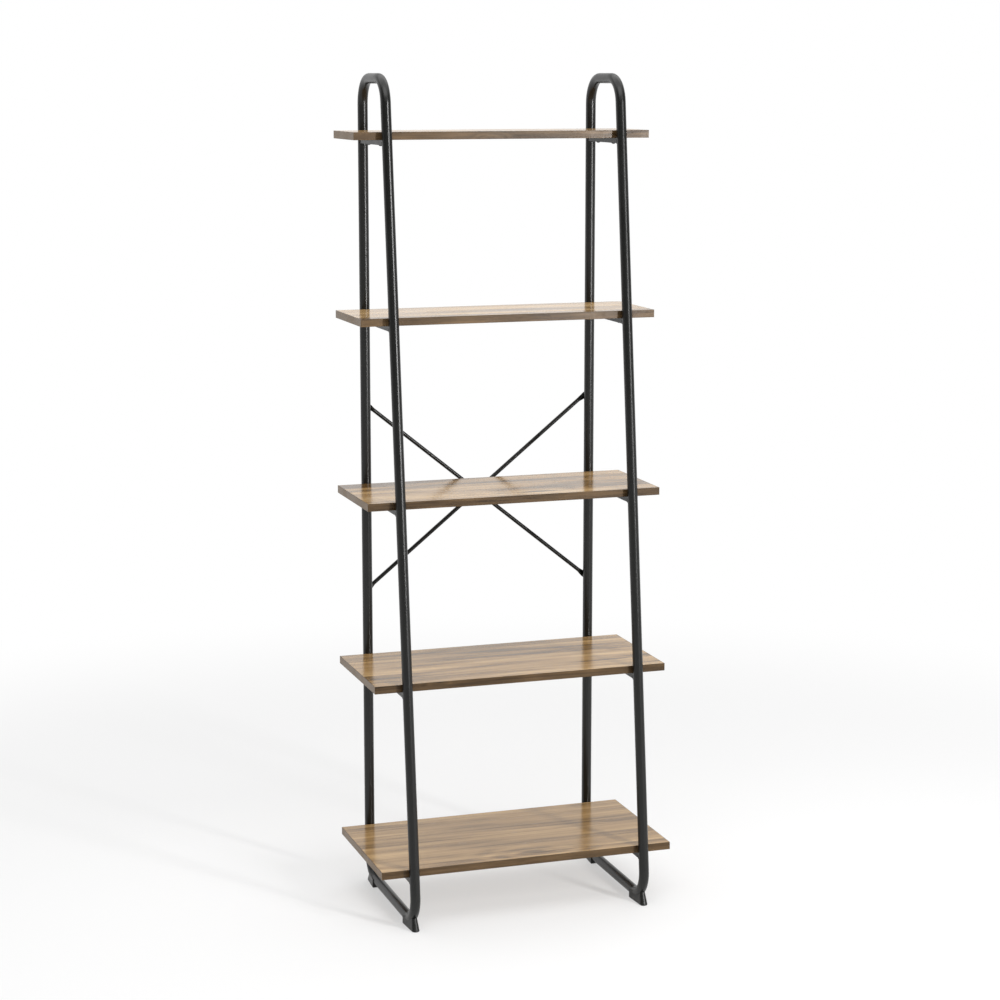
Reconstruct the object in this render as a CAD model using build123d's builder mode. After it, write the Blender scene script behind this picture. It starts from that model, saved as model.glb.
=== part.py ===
from build123d import *
import os
from math import acos, asin, atan2, cos, degrees, hypot, sin, tan

# Ladder shelf: two side frames of bent round tube, five boards on cross bars, a crossed brace
# between the rear legs and four saddle feet. X runs along the boards, Y from the front to the
# rear and Z up from the floor. Sizes are in millimetres.

# Overall sizes
board_length = 600.0
overall_depth = 360.0
frame_clear_width = 456.0
floor_clearance = 105.0
lower_bay = 345.0
upper_bay = 335.0
loop_rise = 110.0

# Side frames: the spacing is between the leg centre lines, carried up to the top tube
tube_diameter = 20.0
tube_wall = 1.2
bend_radius = 50.0
top_leg_spacing = 160.0

# Boards with banded edges
board_thickness = 15.0
edge_band = 0.8
edge_ease = 0.4
board_play = 0.5

# Cross bars of rectangular tube and the screws that hold the boards down on them
bar_width = 16.0
bar_height = 10.0
bar_wall = 1.2
screw_inset = 34.0
screw_diameter = 4.0
screw_head_diameter = 8.0
screw_head_height = 2.6
screw_head_rim = 0.8
screw_bite = 11.0
screw_tip = 3.0
screw_play = 0.4

# Crossed brace of round rod: its flattened ends are bolted to rivet nuts in the rear legs
brace_rise = 385.0
brace_drop = 17.0
brace_diameter = 8.0
brace_gap = 0.2
tongue_width = 12.0
tongue_thickness = 2.5
tongue_corner = 1.0
tongue_straight = 9.0
tongue_flare = 14.0
bolt_diameter = 5.0
bolt_play = 0.4
bolt_head_diameter = 9.5
bolt_head_height = 2.8
bolt_head_rim = 0.9
bolt_socket = 3.0
bolt_socket_depth = 1.8
insert_flange_diameter = 10.0
insert_flange = 1.0
insert_diameter = 7.0
insert_length = 9.0

# Moulded feet that cradle the bends at both ends of the base rails
foot_sole = 5.0
foot_length = 58.0
foot_wall = 1.5
front_foot_setback = 3.0
rear_foot_setback = 12.0
nose_diameter = 16.0
nose_taper = 2.5
lip_height = 25.0
lip_setback = 11.0
lip_depth = 5.0
heel_height = 18.0
foot_corner = 1.5
peg_diameter = 6.0
peg_inset = 9.0
peg_reach = 4.0
peg_play = 0.4

# Levels of the boards, from the floor up
level_names = ["bottom", "lower", "middle", "upper", "top"]
bays = [lower_bay, upper_bay, upper_bay, upper_bay]
undersides = [floor_clearance]
for bay in bays:
    undersides.append(undersides[-1] + board_thickness + bay)
levels = dict(zip(level_names, undersides))

# Side frame geometry: the front leg is tangent to the front bend and leans back to the top tube
tube_radius = tube_diameter / 2
frame_x = frame_clear_width / 2 + tube_radius
sides = {"left": -frame_x, "right": frame_x}
rail_z = foot_sole + tube_radius
top_z = undersides[-1] + board_thickness + loop_rise - tube_radius
brace_radius = brace_diameter / 2
brace_offset = brace_radius + brace_gap / 2
brace_stand = insert_flange + tongue_thickness / 2 + brace_offset + brace_radius
rear_y = overall_depth / 2 - brace_stand - tube_radius
front_top_y = rear_y - top_leg_spacing
bend_y = -overall_depth / 2 + tube_radius + bend_radius
bend_z = rail_z + bend_radius
bend_run = front_top_y - bend_y
bend_rise = top_z - bend_z
lean = atan2(bend_run, bend_rise) + asin(bend_radius / hypot(bend_run, bend_rise))
front_reach = tube_radius / cos(lean)

# Brace geometry: the flattened ends lie behind the rear legs, one rod bulges forward of them and
# the other backward, so that they pass each other in the middle
leg_back_y = rear_y + tube_radius
seat_y = leg_back_y + insert_flange
tongue_y = seat_y + tongue_thickness / 2
brace_z = levels["middle"] - brace_drop
brace_heights = {"upper": brace_z + brace_rise / 2, "lower": brace_z - brace_rise / 2}


def front_y(height):
    """Centre line of the front leg at a height."""
    return front_top_y - (top_z - height) * tan(lean)


def board_span(underside):
    """Front and rear edges of the board whose underside is at a height."""
    front = front_y(underside + board_thickness) + front_reach + board_play
    rear = rear_y - tube_radius - board_play
    return front, rear


def screw_places(underside):
    """Y of the front and rear screws on the bars of one board."""
    front = front_y(underside) + front_reach + screw_inset
    rear = rear_y - tube_radius - screw_inset
    return front, rear


def toe_y(facing):
    """Y of a foot's toe: facing is -1 for the front feet and 1 for the rear ones."""
    if facing < 0:
        return -overall_depth / 2 + front_foot_setback
    return leg_back_y - rear_foot_setback


def peg_y(facing):
    """Y of a foot's peg, near its heel."""
    return toe_y(facing) - facing * (foot_length - peg_inset)


def make_frame(x):
    """One closed tube loop, drilled for the pegs of the feet and the inserts of the brace."""
    corners = [
        (rear_y, rail_z),
        (rear_y, top_z),
        (front_top_y, top_z),
        (front_y(rail_z), rail_z),
    ]
    with BuildPart() as frame:
        with BuildLine(Plane.YZ.offset(x)) as route:
            FilletPolyline(*corners, radius=bend_radius, close=True)
        with BuildSketch(Plane(origin=route.line @ 0, z_dir=route.line % 0)):
            Circle(tube_radius)
            Circle(tube_radius - tube_wall, mode=Mode.SUBTRACT)
        sweep(path=route.line)
        with BuildSketch(Plane.XY.offset(foot_sole - tube_wall)):
            with Locations((x, peg_y(-1)), (x, peg_y(1))):
                Circle((peg_diameter + peg_play) / 2)
        extrude(amount=tube_radius, mode=Mode.SUBTRACT)
        with BuildSketch(Plane.XZ.offset(-leg_back_y)):
            with Locations(*[(x, height) for height in brace_heights.values()]):
                Circle(insert_diameter / 2)
        extrude(amount=tube_radius, mode=Mode.SUBTRACT)
    return frame.part


def make_bar(x, underside):
    """Cross bar under one end of a board, coped to the round legs and drilled for its screws."""
    bar_z = underside - bar_height / 2
    length = rear_y - front_y(bar_z)
    front_foot = (x, front_y(0), 0)
    front_top = (x, front_top_y, top_z)
    front_axis = Plane(origin=front_foot, z_dir=Vector(front_top) - Vector(front_foot))
    with BuildPart() as bar:
        with BuildSketch(Plane(origin=(x, rear_y, bar_z), x_dir=(1, 0, 0), z_dir=(0, -1, 0))):
            Rectangle(bar_width, bar_height)
            Rectangle(bar_width - 2 * bar_wall, bar_height - 2 * bar_wall, mode=Mode.SUBTRACT)
        extrude(amount=length)
        with BuildSketch(Plane(origin=(x, rear_y, 0))):
            Circle(tube_radius)
        extrude(amount=top_z, mode=Mode.SUBTRACT)
        with BuildSketch(front_axis):
            Circle(tube_radius)
        extrude(amount=top_z / cos(lean), mode=Mode.SUBTRACT)
        with BuildSketch(Plane.XY.offset(underside)):
            with Locations(*[(x, y) for y in screw_places(underside)]):
                Circle((screw_diameter + screw_play) / 2)
        extrude(amount=-bar_height, mode=Mode.SUBTRACT)
    return bar.part


def make_board(underside):
    """Board core between its edge bands, with pilot holes for the four screws."""
    front, rear = board_span(underside)
    spots = [(x, y) for x in sides.values() for y in screw_places(underside)]
    with BuildPart() as board:
        with BuildSketch(Plane.XY.offset(underside)):
            with Locations((0, (front + rear) / 2)):
                Rectangle(board_length - 2 * edge_band, rear - front - 2 * edge_band)
        extrude(amount=board_thickness)
        with BuildSketch(Plane.XY.offset(underside)):
            with Locations(*spots):
                Circle(screw_diameter / 2)
        extrude(amount=screw_bite, mode=Mode.SUBTRACT)
    return board.part


def make_edge_band(underside):
    """Four strips round the board, with their outer edges eased."""
    front, rear = board_span(underside)
    middle = (front + rear) / 2
    with BuildPart() as band:
        with BuildSketch(Plane.XY.offset(underside)):
            with Locations((0, middle)):
                Rectangle(board_length, rear - front)
        extrude(amount=board_thickness)
        chamfer(band.edges(), length=edge_ease)
        with BuildSketch(Plane.XY.offset(underside)):
            with Locations((0, middle)):
                Rectangle(board_length - 2 * edge_band, rear - front - 2 * edge_band)
        extrude(amount=board_thickness, mode=Mode.SUBTRACT)
        split(bisect_by=Plane.XZ.offset(-(front + edge_band)), keep=Keep.BOTH)
        split(bisect_by=Plane.XZ.offset(-(rear - edge_band)), keep=Keep.BOTH)
    return band.part


def make_screw():
    """Pan-head screw standing at the origin, with its head's seat on Z = 0."""
    seat = screw_head_diameter / 2
    shank = screw_diameter / 2
    length = bar_height + screw_bite
    with BuildPart() as screw:
        with BuildSketch(Plane.XZ):
            with BuildLine():
                Polyline((0, -screw_head_height), (0, length), (shank, length - screw_tip))
                Polyline((shank, length - screw_tip), (shank, 0), (seat, 0), (seat, -screw_head_rim))
                TangentArc((0, -screw_head_height), (seat, -screw_head_rim), tangent=(1, 0))
            make_face()
        revolve(axis=Axis.Z)
    return screw.part


def make_board_screws(underside):
    """The four screws of one board, driven up through the bars."""
    seat_z = underside - bar_height
    spots = [(x, y, seat_z) for x in sides.values() for y in screw_places(underside)]
    screw = make_screw()
    with BuildPart() as screws:
        with Locations(*spots):
            add(screw)
    return screws.part


def make_brace(climb, layer):
    """Rod with a flattened, drilled tongue at each end.

    climb is 1 for the rod that rises to the right and -1 for the one that falls; layer is -1 for
    the rod that bulges forward of its tongues and 1 for the one that bulges backward.
    """
    axis_y = tongue_y + layer * brace_offset
    left = Vector(-frame_x, axis_y, brace_z - climb * brace_rise / 2)
    right = Vector(frame_x, axis_y, brace_z + climb * brace_rise / 2)
    neck = tongue_straight + tongue_flare
    with BuildPart() as brace:
        for end, other in [(left, right), (right, left)]:
            inward = (other - end).normalized()
            with BuildSketch(Plane(origin=(end.X, tongue_y, end.Z), x_dir=inward, z_dir=(0, 1, 0))):
                with Locations((tongue_straight / 2, 0)):
                    Rectangle(tongue_straight, tongue_width)
                Circle(tongue_width / 2)
                Circle((bolt_diameter + bolt_play) / 2, mode=Mode.SUBTRACT)
            extrude(amount=tongue_thickness / 2, both=True)
            tongue_end = end + inward * tongue_straight
            with BuildSketch(Plane(origin=tongue_end, x_dir=(0, 1, 0), z_dir=inward)):
                with Locations((tongue_y - axis_y, 0)):
                    RectangleRounded(tongue_thickness, tongue_width, tongue_corner)
            with BuildSketch(Plane(origin=end + inward * neck, x_dir=(0, 1, 0), z_dir=inward)):
                Circle(brace_radius)
            loft()
        inward = (right - left).normalized()
        with BuildSketch(Plane(origin=left + inward * neck, x_dir=(0, 1, 0), z_dir=inward)):
            Circle(brace_radius)
        extrude(amount=(right - left).length - 2 * neck)
    return brace.part


def make_bolts():
    """Button-head bolts, driven from behind through the tongues into the rivet nuts."""
    seat = bolt_head_diameter / 2
    shank = bolt_diameter / 2
    length = tongue_thickness + insert_flange + insert_length
    with BuildPart() as bolt:
        with BuildSketch(Plane.XY):
            with BuildLine():
                Polyline((0, bolt_head_height), (0, -length), (shank, -length), (shank, 0), (seat, 0))
                Line((seat, 0), (seat, bolt_head_rim))
                TangentArc((0, bolt_head_height), (seat, bolt_head_rim), tangent=(1, 0))
            make_face()
        revolve(axis=Axis.Y)
        with BuildSketch(Plane.XZ.offset(-bolt_head_height)):
            RegularPolygon(bolt_socket / 2, 6, major_radius=False)
        extrude(amount=bolt_socket_depth, mode=Mode.SUBTRACT)
    heights = brace_heights.values()
    spots = [(x, seat_y + tongue_thickness, height) for x in sides.values() for height in heights]
    with BuildPart() as bolts:
        with Locations(*spots):
            add(bolt.part)
    return bolts.part


def make_inserts():
    """Rivet nuts in the rear legs, with flanges that give the tongues a flat seat."""
    spots = [(x, height) for x in sides.values() for height in brace_heights.values()]
    with BuildPart() as inserts:
        with BuildSketch(Plane.XZ.offset(-seat_y)):
            with Locations(*spots):
                Circle(insert_flange_diameter / 2)
        extrude(amount=insert_flange + tube_radius)
        with BuildSketch(*[Plane(origin=(x, rear_y, 0)) for x in sides.values()]):
            Circle(tube_radius)
        extrude(amount=top_z, mode=Mode.SUBTRACT)
        with BuildSketch(Plane.XZ.offset(-seat_y)):
            with Locations(*spots):
                Circle(insert_diameter / 2)
        extrude(amount=insert_flange + insert_length)
        with BuildSketch(Plane.XZ.offset(-seat_y)):
            with Locations(*spots):
                Circle(bolt_diameter / 2)
        extrude(amount=insert_flange + insert_length, mode=Mode.SUBTRACT)
    return inserts.part


def foot_outline(x, facing, heel, tip, half_width, nose_radius):
    """Plan of a foot: corners on the straight heel and points of the round nose that join it.

    Gives the four corners in order round the heel, and the tip of the nose.
    """
    run = abs(tip - heel) - nose_radius
    turn = acos(nose_radius / hypot(half_width, run)) - atan2(run, half_width)
    side_x = nose_radius * cos(turn)
    side_y = heel + facing * (run + nose_radius * sin(turn))
    corners = [(x - side_x, side_y), (x - half_width, heel), (x + half_width, heel), (x + side_x, side_y)]
    return corners, (x, tip)


def make_foot(x, facing):
    """Saddle foot under a bend: facing is -1 at the front and 1 at the rear."""
    half_width = tube_radius + foot_wall
    nose_radius = nose_diameter / 2
    toe = toe_y(facing)
    heel = toe - facing * foot_length
    lip = toe - facing * lip_setback
    ease = facing * foot_corner
    leg_low_y, leg_top_y = (rear_y, rear_y) if facing > 0 else (front_y(rail_z), front_top_y)
    side_outline = [
        (toe, 0),
        (toe, lip_height),
        (lip - facing * lip_depth, lip_height),
        (heel, heel_height),
        (heel, 0),
    ]
    plans = [
        (0, foot_outline(x, facing, heel + ease, toe - ease, half_width - foot_corner, nose_radius - foot_corner)),
        (foot_corner, foot_outline(x, facing, heel, toe, half_width, nose_radius)),
        (lip_height, foot_outline(x, facing, heel, lip, half_width, nose_radius - nose_taper)),
    ]
    with BuildPart() as foot:
        for height, (corners, tip) in plans:
            with BuildSketch(Plane.XY.offset(height)):
                with BuildLine():
                    Polyline(*corners)
                    ThreePointArc(corners[-1], tip, corners[0])
                make_face()
        loft(ruled=True)
        with BuildSketch(Plane.YZ.offset(x)):
            with BuildLine():
                Polyline(*side_outline, close=True)
            make_face()
        extrude(amount=half_width, both=True, mode=Mode.INTERSECT)
        with BuildLine(Plane.YZ.offset(x)) as seat:
            FilletPolyline((0, rail_z), (leg_low_y, rail_z), (leg_top_y, top_z), radius=bend_radius)
        with BuildSketch(Plane(origin=seat.line @ 0, z_dir=seat.line % 0)):
            Circle(tube_radius)
        sweep(path=seat.line, mode=Mode.SUBTRACT)
        with BuildSketch(Plane.XY.offset(foot_sole / 2)):
            with Locations((x, peg_y(facing))):
                Circle(peg_diameter / 2)
        extrude(amount=foot_sole / 2 + peg_reach)
    return foot.part


os.makedirs("parts", exist_ok=True)
brace_layers = {"rising": (1, 1), "falling": (-1, -1)}
pieces = {}
for side, x in sides.items():
    pieces[f"{side}_side_frame"] = make_frame(x)
    pieces[f"front_{side}_foot"] = make_foot(x, -1)
    pieces[f"rear_{side}_foot"] = make_foot(x, 1)
for level, underside in levels.items():
    pieces[f"{level}_board"] = make_board(underside)
    pieces[f"{level}_edge_band"] = make_edge_band(underside)
    pieces[f"{level}_board_screws"] = make_board_screws(underside)
    for side, x in sides.items():
        pieces[f"{side}_{level}_bar"] = make_bar(x, underside)
for name, (climb, layer) in brace_layers.items():
    pieces[f"{name}_brace"] = make_brace(climb, layer)
pieces["brace_bolts"] = make_bolts()
pieces["brace_inserts"] = make_inserts()

for name, piece in pieces.items():
    piece.label = name
    export_step(piece, f"parts/{name}.step")
print(f"lean {degrees(lean):.2f} degrees, {len(pieces)} pieces")
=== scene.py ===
"""Looks of a ladder shelf: five oak decor boards on two satin black tube frames.

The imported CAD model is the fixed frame. This script dresses its pieces with procedural finishes,
adds the small worked details that the solids leave plain, and sets the studio and the camera.
All lengths are in metres: X along the boards, Y from front to rear, Z up from the floor.
"""

import logging
from dataclasses import dataclass
from enum import Enum
from math import asin, atan2, cos, hypot, pi, radians, sin, sqrt, tan
from typing import Any, Sequence, Union

import bmesh
import bpy
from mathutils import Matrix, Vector

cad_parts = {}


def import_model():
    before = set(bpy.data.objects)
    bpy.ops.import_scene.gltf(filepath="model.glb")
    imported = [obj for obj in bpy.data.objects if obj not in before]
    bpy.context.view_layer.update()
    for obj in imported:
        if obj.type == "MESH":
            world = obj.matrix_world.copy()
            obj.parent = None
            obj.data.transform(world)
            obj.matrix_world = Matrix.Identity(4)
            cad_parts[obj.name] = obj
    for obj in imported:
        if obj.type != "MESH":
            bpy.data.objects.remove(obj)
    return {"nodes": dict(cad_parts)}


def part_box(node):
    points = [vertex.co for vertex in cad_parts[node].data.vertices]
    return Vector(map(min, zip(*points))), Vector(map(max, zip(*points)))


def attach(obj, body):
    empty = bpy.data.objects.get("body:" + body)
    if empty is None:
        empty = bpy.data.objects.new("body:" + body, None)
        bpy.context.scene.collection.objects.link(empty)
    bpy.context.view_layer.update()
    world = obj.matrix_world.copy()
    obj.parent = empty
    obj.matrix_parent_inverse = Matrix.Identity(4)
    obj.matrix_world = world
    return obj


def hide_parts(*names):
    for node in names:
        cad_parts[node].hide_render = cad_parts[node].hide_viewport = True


frame: dict[str, Any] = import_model()

LOG = logging.getLogger("ladder_shelf")
BODY = "root"
MM = 0.001
MERGE_DISTANCE = 0.002 * MM

Rgb = tuple[float, float, float]
Point = tuple[float, float, float]
Span = tuple[float, float]
Socket = bpy.types.NodeSocket
Feed = Union[Socket, float, int, Sequence[float]]

FULL: Span = (0.0, 1.0)
WHITE: Rgb = (1.0, 1.0, 1.0)


class Side(Enum):
    """The two ends of the shelf, with the sign of their X."""

    LEFT = -1
    RIGHT = 1

    @property
    def word(self) -> str:
        """The side's word in the names of pieces."""
        return self.name.lower()


class Level(Enum):
    """The five boards, counted from the floor up."""

    BOTTOM = 0
    LOWER = 1
    MIDDLE = 2
    UPPER = 3
    TOP = 4

    @property
    def word(self) -> str:
        """The level's word in the names of pieces."""
        return self.name.lower()


class GrainRun(Enum):
    """How the wood grain lies on a piece."""

    ALONG_BOARD = "along the length of the board"
    ROUND_EDGE = "along each strip of the edge band"


class Wiring:
    """Places nodes in one tree and joins them."""

    # Places of the colour sockets on a Mix node
    MIX_FIRST = 6
    MIX_SECOND = 7
    MIX_RESULT = 2

    def __init__(self, tree: bpy.types.NodeTree) -> None:
        """Keeps the tree that the nodes go into.

        Args:
            tree: A shader or geometry node tree.
        """
        self.tree = tree

    def node(self, kind: str, **settings: Any) -> bpy.types.Node:
        """Adds one node.

        Args:
            kind: Blender's name of the node type.
            settings: Properties to set on the node.

        Returns:
            The new node.
        """
        made = self.tree.nodes.new(kind)
        for name, value in settings.items():
            setattr(made, name, value)
        return made

    def feed(self, socket: Socket, value: Feed) -> None:
        """Joins a socket to an input, or sets its fixed value.

        Args:
            socket: The input socket.
            value: An output socket, a number, a vector or a colour of three numbers.
        """
        if isinstance(value, Socket):
            self.tree.links.new(value, socket)
        elif socket.type == "RGBA":
            socket.default_value = (*value[:3], 1.0)
        else:
            socket.default_value = value

    def math(self, work: str, first: Feed, second: Feed = 0.0, third: Feed = 0.0) -> Socket:
        """Does sums on numbers.

        Args:
            work: Operation of the Math node.
            first: First number.
            second: Second number.
            third: Third number, where the operation has one.

        Returns:
            The result's socket.
        """
        made = self.node("ShaderNodeMath", operation=work)
        for socket, value in zip(made.inputs, (first, second, third)):
            self.feed(socket, value)
        return made.outputs[0]

    def times(self, first: Feed, second: Feed) -> Socket:
        """Multiplies two numbers."""
        return self.math("MULTIPLY", first, second)

    def mix(self, amount: Feed, first: Feed, second: Feed) -> Socket:
        """Mixes two colours.

        Args:
            amount: Share of the second colour.
            first: First colour.
            second: Second colour.

        Returns:
            The mixed colour's socket.
        """
        made = self.node("ShaderNodeMix", data_type="RGBA")
        self.feed(made.inputs[0], amount)
        self.feed(made.inputs[self.MIX_FIRST], first)
        self.feed(made.inputs[self.MIX_SECOND], second)
        return made.outputs[self.MIX_RESULT]

    def remap(self, value: Feed, old: Span, new: Span = FULL) -> Socket:
        """Maps a range of numbers smoothly to another and clamps it.

        Args:
            value: The number.
            old: Its range.
            new: The range it is mapped to.

        Returns:
            The mapped number's socket.
        """
        made = self.node("ShaderNodeMapRange", interpolation_type="SMOOTHSTEP")
        for socket, number in zip(made.inputs, (value, *old, *new)):
            self.feed(socket, number)
        return made.outputs[0]

    def noise(self, vector: Feed, scale: Feed, detail: float, rough: float = 0.5,
              twist: float = 0.0) -> Socket:
        """Adds a noise field.

        Args:
            vector: Coordinates of the field.
            scale: Grains to a metre.
            detail: Octaves.
            rough: Share of the finer octaves.
            twist: Distortion.

        Returns:
            The field's value, about 0 to 1.
        """
        made = self.node("ShaderNodeTexNoise", noise_dimensions="3D")
        self.feed(made.inputs["Vector"], vector)
        self.feed(made.inputs["Scale"], scale)
        self.feed(made.inputs["Detail"], detail)
        self.feed(made.inputs["Roughness"], rough)
        self.feed(made.inputs["Distortion"], twist)
        return made.outputs[0]

    def split(self, vector: Feed) -> list[Socket]:
        """Takes a vector or a colour apart.

        Args:
            vector: The vector.

        Returns:
            Its three parts.
        """
        made = self.node("ShaderNodeSeparateXYZ")
        self.feed(made.inputs[0], vector)
        return list(made.outputs)

    def vector(self, x: Feed, y: Feed, z: Feed) -> Socket:
        """Puts three numbers together.

        Args:
            x: First part.
            y: Second part.
            z: Third part.

        Returns:
            The vector's socket.
        """
        made = self.node("ShaderNodeCombineXYZ")
        for socket, value in zip(made.inputs, (x, y, z)):
            self.feed(socket, value)
        return made.outputs[0]

    def group(self, tree: bpy.types.NodeTree, **feeds: Feed) -> bpy.types.NodeOutputs:
        """Places a node group.

        Args:
            tree: The group.
            feeds: Values for its inputs, with underscores for the spaces in their names.

        Returns:
            The group node's outputs.
        """
        made = self.node("ShaderNodeGroup", node_tree=tree)
        for name, value in feeds.items():
            self.feed(made.inputs[name.replace("_", " ").title()], value)
        return made.outputs


def new_group(
    name: str, takes: dict[str, str], gives: dict[str, str], kind: str = "ShaderNodeTree"
) -> tuple[Wiring, bpy.types.NodeOutputs, bpy.types.NodeInputs]:
    """Starts a node group with named sockets.

    Args:
        name: The group's name.
        takes: Input names with their socket kinds.
        gives: Output names with their socket kinds.
        kind: Type of the node tree.

    Returns:
        The group's wiring, its inputs as the inside sees them, and its outputs.
    """
    tree = bpy.data.node_groups.new(name, kind)
    for way, sockets in (("INPUT", takes), ("OUTPUT", gives)):
        for label, sort in sockets.items():
            tree.interface.new_socket(name=label, in_out=way, socket_type=f"NodeSocket{sort}")
    wiring = Wiring(tree)
    return wiring, wiring.node("NodeGroupInput").outputs, wiring.node("NodeGroupOutput").inputs


def end_tree(w: Wiring, shape: Socket, finish: Socket, out: Socket) -> None:
    """Ends a geometry node tree: makes instances real and sets the finish.

    Args:
        w: The tree's wiring.
        shape: The geometry so far.
        finish: The tree's material input.
        out: The tree's output.
    """
    real = w.node("GeometryNodeRealizeInstances")
    w.feed(real.inputs[0], shape)
    coat = w.node("GeometryNodeSetMaterial")
    w.feed(coat.inputs["Geometry"], real.outputs[0])
    w.feed(coat.inputs["Material"], finish)
    w.feed(out, coat.outputs[0])


@dataclass(frozen=True)
class EdgeWear:
    """A mask of the edges, broken up by noise: rubbed edges on the coats, and the arrises that the edge
    band draws darker.
    """

    samples: int = 4
    edge: Span = (0.02, 0.25)
    patch_detail: float = 4.0
    patch_rough: float = 0.6
    patch: Span = (0.42, 0.7)

    def build(self) -> bpy.types.NodeTree:
        """Makes the group.

        Returns:
            The group, with the mask as its output.
        """
        w, takes, gives = new_group(
            "Edge wear",
            {"Vector": "Vector", "Radius": "Float", "Patch Scale": "Float"},
            {"Mask": "Float"},
        )
        rounded = w.node("ShaderNodeBevel", samples=self.samples)
        w.feed(rounded.inputs["Radius"], takes["Radius"])
        plain = w.node("ShaderNodeNewGeometry")
        dot = w.node("ShaderNodeVectorMath", operation="DOT_PRODUCT")
        w.feed(dot.inputs[0], rounded.outputs[0])
        w.feed(dot.inputs[1], plain.outputs["Normal"])
        edge = w.remap(w.math("SUBTRACT", 1.0, dot.outputs["Value"]), self.edge)
        field = w.noise(takes["Vector"], takes["Patch Scale"], self.patch_detail, self.patch_rough)
        w.feed(gives["Mask"], w.times(edge, w.remap(field, self.patch)))
        return w.tree


@dataclass(frozen=True)
class FineTexture:
    """The fine skin of a sprayed, moulded or printed surface."""

    coarse_detail: float = 2.0
    fine_detail: float = 1.0
    fine_height: float = 0.45
    mottle: Span = (0.35, 0.65)
    cloud_detail: float = 3.0
    cloud_rough: float = 0.6
    smudge: Span = (0.35, 0.68)

    def build(self) -> bpy.types.NodeTree:
        """Makes the group.

        Returns:
            The group, with a height, a mottle and a smudge as its outputs.
        """
        w, takes, gives = new_group(
            "Fine texture",
            {"Vector": "Vector", "Coarse": "Float", "Fine": "Float", "Cloud": "Float"},
            {"Height": "Float", "Mottle": "Float", "Smudge": "Float"},
        )
        coarse = w.noise(takes["Vector"], takes["Coarse"], self.coarse_detail)
        fine = w.noise(takes["Vector"], takes["Fine"], self.fine_detail)
        w.feed(gives["Height"], w.math("MULTIPLY_ADD", fine, self.fine_height, coarse))
        w.feed(gives["Mottle"], w.remap(fine, self.mottle))
        cloud = w.noise(takes["Vector"], takes["Cloud"], self.cloud_detail, self.cloud_rough)
        w.feed(gives["Smudge"], w.remap(cloud, self.smudge))
        return w.tree


@dataclass(frozen=True)
class Grain:
    """A noise field drawn out along the grain, with its repeats to a metre along and across."""

    along: float
    across: float
    detail: float
    rough: float = 0.5
    twist: float = 0.0

    def field(self, w: Wiring, along: Socket, across: Socket, depth: Socket) -> Socket:
        """Lays the field on a plank.

        Args:
            w: The group's wiring.
            along: Place along the grain.
            across: Place across the grain.
            depth: Layer of the trunk that the plank is cut from.

        Returns:
            The field's value, about 0 to 1.
        """
        place = w.vector(w.times(along, self.along), w.times(across, self.across), depth)
        return w.noise(place, 1.0, self.detail, self.rough, self.twist)


@dataclass(frozen=True)
class Plank:
    """Where a point lies on its plank, as sockets of the oak group."""

    along: Socket
    across: Socket
    depth: Socket
    rim: Socket
    own: Socket
    layer: Socket


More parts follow.
